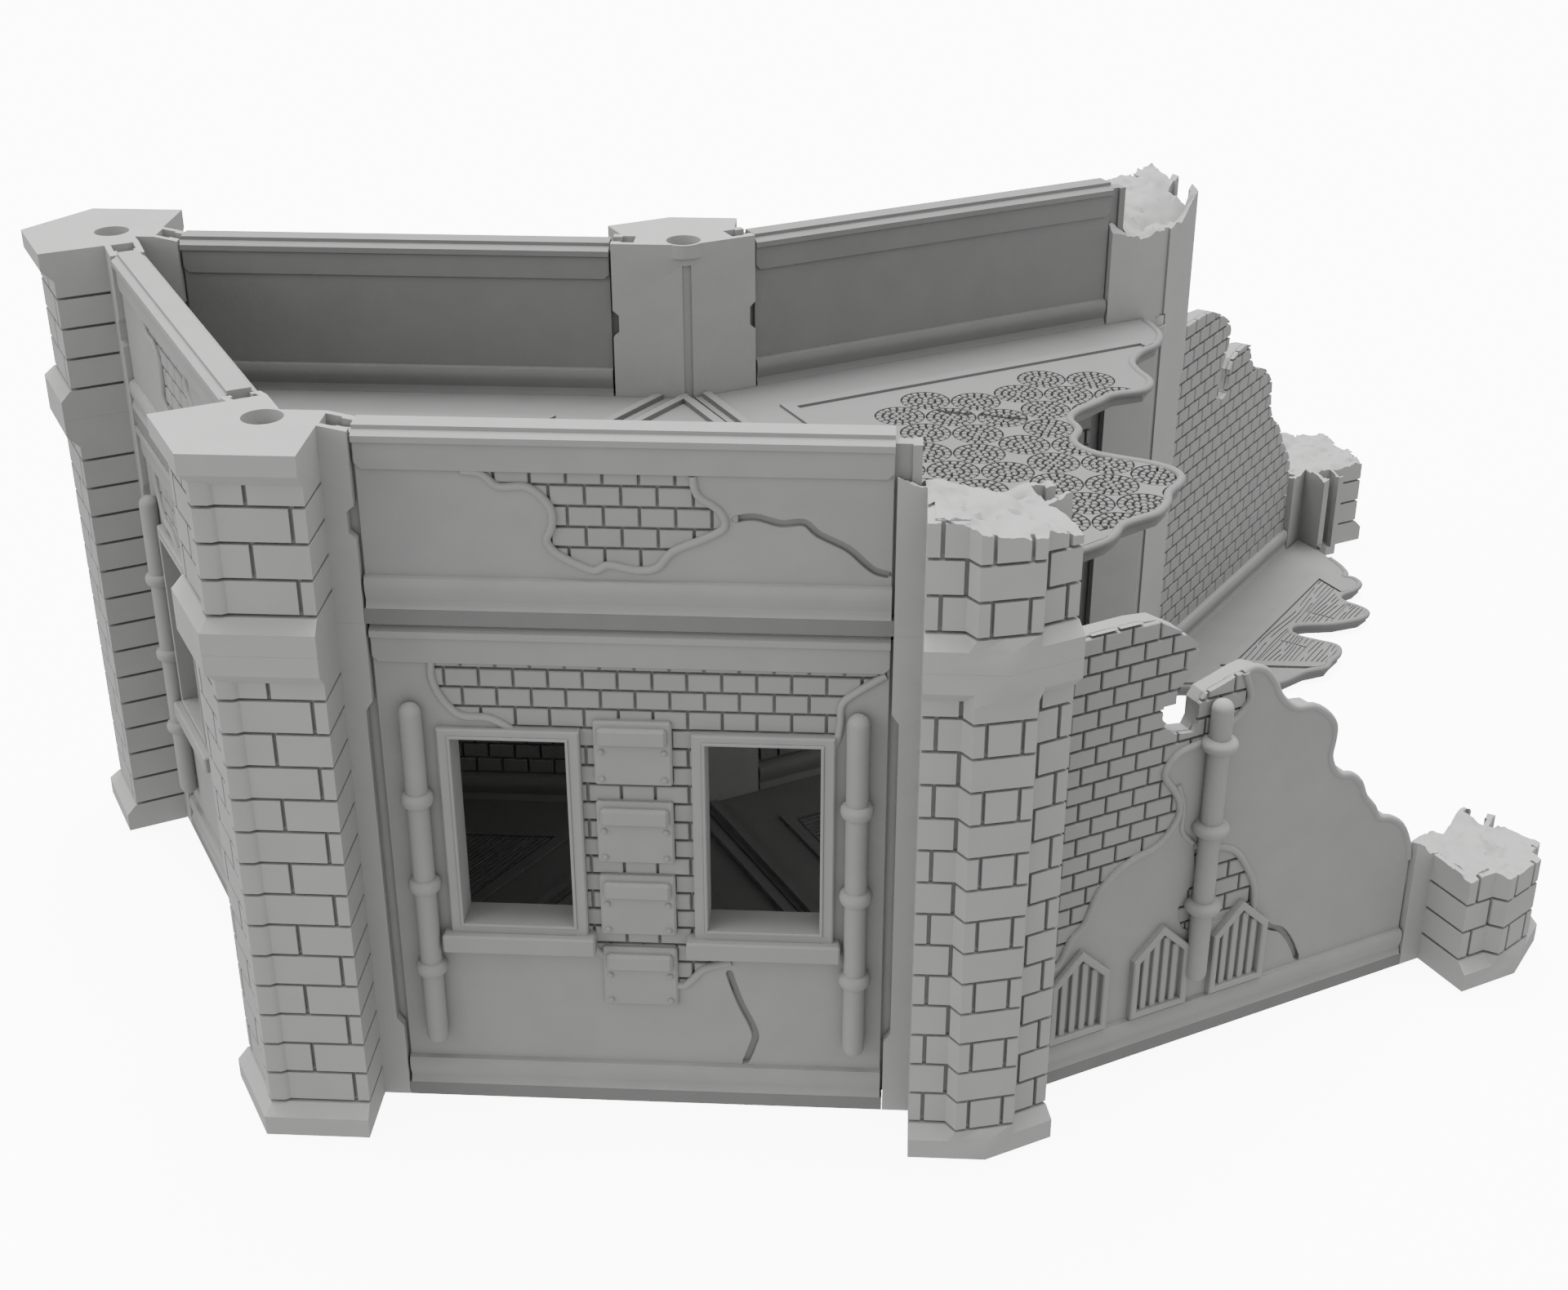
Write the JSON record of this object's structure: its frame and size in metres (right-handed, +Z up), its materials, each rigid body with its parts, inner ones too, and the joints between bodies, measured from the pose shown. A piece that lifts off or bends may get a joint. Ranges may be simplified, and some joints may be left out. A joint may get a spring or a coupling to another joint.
{
  "type": "miniature terrain ruin",
  "caption": "Modular two-storey gothic-style corner ruin for tabletop miniatures: slotted pillars, slide-in wall panels and floor tiles, with broken edges.",
  "frame": {"origin": "middle of the underside of the assembly's bounding box, on the table", "axes": "+X to the right along the front wall, +Y from the front wall to the back, +Z up"},
  "size_m": [0.269, 0.2512, 0.1143],
  "materials": {
    "grey_plastic": "matte"
  },
  "bodies": {
    "ruin": {"pillar_front_left_lower": "grey_plastic", "pillar_front_left_upper": "grey_plastic", "pillar_front_middle_lower": "grey_plastic", "pillar_front_middle_upper": "grey_plastic", "pillar_back_left_lower": "grey_plastic", "pillar_back_left_upper": "grey_plastic", "pillar_back_middle_lower": "grey_plastic", "pillar_back_middle_upper": "grey_plastic", "pillar_back_right_lower": "grey_plastic", "pillar_back_right_upper": "grey_plastic", "pillar_right_stub": "grey_plastic", "pillar_far_stub": "grey_plastic", "locating_disc_front_left": "grey_plastic", "locating_disc_front_middle": "grey_plastic", "locating_disc_back_left": "grey_plastic", "locating_disc_back_middle": "grey_plastic", "locating_disc_back_right": "grey_plastic", "wall_front_lower": "grey_plastic", "wall_left_lower": "grey_plastic", "wall_back_lower": "grey_plastic", "wall_back_right_lower": "grey_plastic", "floor_ground_front_triangle": "grey_plastic", "floor_ground_left_triangle": "grey_plastic", "floor_ground_square": "grey_plastic", "floor_ground_broken_triangle": "grey_plastic", "floor_upper_front_triangle": "grey_plastic", "floor_upper_left_triangle": "grey_plastic", "floor_upper_square_broken": "grey_plastic"},
    "front_upper_panel": {"wall_front_upper": "grey_plastic"},
    "left_upper_panel": {"wall_left_upper": "grey_plastic"},
    "back_upper_panel": {"wall_back_upper": "grey_plastic"},
    "back_right_upper_panel": {"wall_back_right_upper": "grey_plastic"},
    "right_broken_panel": {"wall_right_broken": "grey_plastic"},
    "far_broken_panel": {"wall_far_broken": "grey_plastic"}
  },
  "joints": [
    {"name": "front_upper_slide", "type": "slide", "parent": "ruin", "child": "front_upper_panel", "axis": [0, 0, 1], "range_m": [0, 0.028]},
    {"name": "left_upper_slide", "type": "slide", "parent": "ruin", "child": "left_upper_panel", "axis": [0, 0, 1], "range_m": [0, 0.028]},
    {"name": "back_upper_slide", "type": "slide", "parent": "ruin", "child": "back_upper_panel", "axis": [0, 0, 1], "range_m": [0, 0.028]},
    {"name": "back_right_upper_slide", "type": "slide", "parent": "ruin", "child": "back_right_upper_panel", "axis": [0, 0, 1], "range_m": [0, 0.028]},
    {"name": "right_broken_slide", "type": "slide", "parent": "ruin", "child": "right_broken_panel", "axis": [0, 0, 1], "range_m": [0, 0.102]},
    {"name": "far_broken_slide", "type": "slide", "parent": "ruin", "child": "far_broken_panel", "axis": [0, 0, 1], "range_m": [0, 0.108]}
  ]
}
